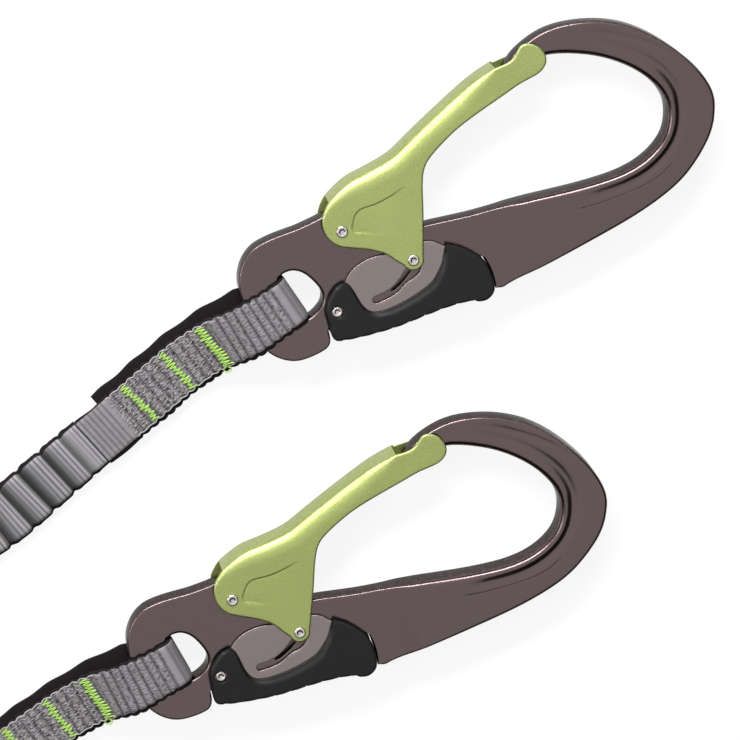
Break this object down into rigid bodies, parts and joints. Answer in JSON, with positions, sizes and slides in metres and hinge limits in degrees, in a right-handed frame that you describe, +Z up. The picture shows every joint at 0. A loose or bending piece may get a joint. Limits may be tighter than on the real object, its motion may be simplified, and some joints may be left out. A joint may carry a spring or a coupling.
{
  "type": "via ferrata lanyard",
  "caption": "Via ferrata lanyard: palm-lever hook connectors with sprung gates on elastic webbing arms, joined at a pouched tear-webbing energy absorber with a tie-in loop.",
  "frame": {"origin": "centre of the absorber pouch's flat underside, on the surface the lanyard lies on", "axes": "+X from the pouch towards the hooks' far ends, +Y from the tie-in loop towards the elastic arms, +Z up from the surface"},
  "size_m": [0.507, 0.381, 0.0288],
  "materials": {
    "frame_anodised": "warm grey anodised, satin",
    "gate_anodised": "lime anodised, satin",
    "lever_plate": "dull grey",
    "rivet_steel": "bright",
    "spring_steel": "plain",
    "grip_moulded": "matte",
    "webbing": "ribbed weave, grey over black",
    "pouch_cloth": "plain weave"
  },
  "bodies": {
    "root": {"frame_upper": "frame_anodised", "frame_lower": "frame_anodised", "gate_pivot_rivet_upper": "rivet_steel", "gate_pivot_rivet_lower": "rivet_steel", "lever_pivot_rivet_upper": "rivet_steel", "lever_pivot_rivet_lower": "rivet_steel", "gate_spring_upper": "spring_steel", "gate_spring_lower": "spring_steel", "lever_spring_upper": "spring_steel", "lever_spring_lower": "spring_steel", "end_loop_upper": "webbing", "end_loop_lower": "webbing", "elastic_arm_upper": "webbing", "elastic_arm_lower": "webbing", "absorber_pouch": "pouch_cloth", "tear_webbing": "webbing", "tie_in_loop": "webbing"},
    "gate_upper_body": {"gate_upper": "gate_anodised", "gate_cam_pin_upper": "rivet_steel"},
    "gate_lower_body": {"gate_lower": "gate_anodised", "gate_cam_pin_lower": "rivet_steel"},
    "lever_upper_body": {"lever_front_plate_upper": "lever_plate", "lever_back_plate_upper": "lever_plate", "palm_grip_upper": "grip_moulded"},
    "lever_lower_body": {"lever_front_plate_lower": "lever_plate", "lever_back_plate_lower": "lever_plate", "palm_grip_lower": "grip_moulded"}
  },
  "joints": [
    {"name": "gate_swing_upper", "type": "hinge", "parent": "root", "child": "gate_upper_body", "pos_m": [0.34462, 0.14253, 0.0075], "axis": [0, 0, -1], "range_deg": [0, 24], "stiffness_Nm_per_rad": 0.06, "springref_deg": -20.05},
    {"name": "gate_swing_lower", "type": "hinge", "parent": "root", "child": "gate_lower_body", "pos_m": [0.27341, 0.0277, 0.0075], "axis": [0, 0, -1], "range_deg": [0, 24], "stiffness_Nm_per_rad": 0.06, "springref_deg": -20.05},
    {"name": "lever_squeeze_upper", "type": "hinge", "parent": "root", "child": "lever_upper_body", "pos_m": [0.3357, 0.11584, 0.0075], "axis": [0, 0, 1], "range_deg": [0, 3.6]},
    {"name": "lever_squeeze_lower", "type": "hinge", "parent": "root", "child": "lever_lower_body", "pos_m": [0.26206, 0.00194, 0.0075], "axis": [0, 0, 1], "range_deg": [0, 3.6]}
  ],
  "couplings": [
    {"joint": "lever_squeeze_upper", "follows": "gate_swing_upper", "ratio": 0.15},
    {"joint": "lever_squeeze_lower", "follows": "gate_swing_lower", "ratio": 0.15}
  ]
}
